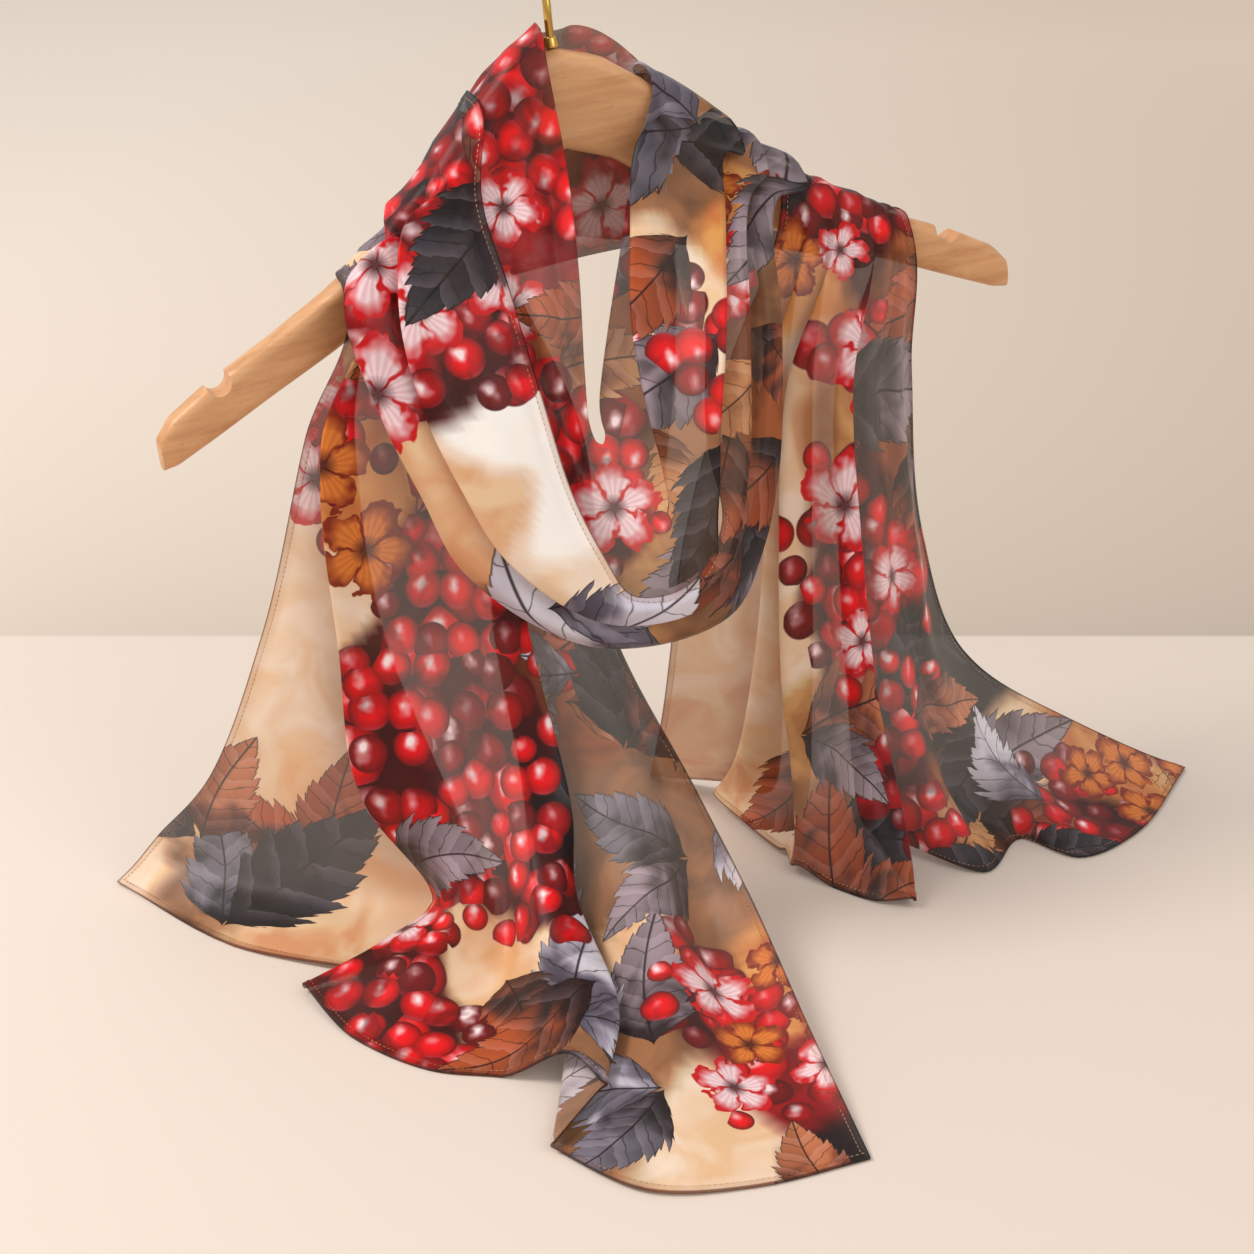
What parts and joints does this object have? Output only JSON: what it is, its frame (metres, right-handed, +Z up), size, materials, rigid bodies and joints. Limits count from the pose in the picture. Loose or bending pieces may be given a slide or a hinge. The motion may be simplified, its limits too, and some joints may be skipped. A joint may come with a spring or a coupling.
{
  "type": "chiffon scarf wound on a wooden clothes hanger",
  "caption": "Long printed chiffon scarf wound once round a bowed wooden hanger with a brass hook, both ends spread on the table plane below.",
  "frame": {"origin": "inside top of the hanger's hook, where the rail bears", "axes": "+Z is up, -Y is towards the viewer in front of the drape, +X is to the viewer's right"},
  "size_m": [0.5836, 0.4102, 0.5036],
  "materials": {
    "chiffon": "printed sheer chiffon with a soft satin sheen",
    "wood": "satin lacquer over pale beech",
    "brass": "polished"
  },
  "bodies": {
    "root": {"hanger": "wood", "hook_ferrule": "brass", "hook": "brass", "scarf_tail_left": "chiffon", "scarf_tail_right": "chiffon", "scarf_back": "chiffon", "scarf_collar": "chiffon", "scarf_loop_outer": "chiffon", "scarf_loop_inner": "chiffon"}
  },
  "joints": []
}
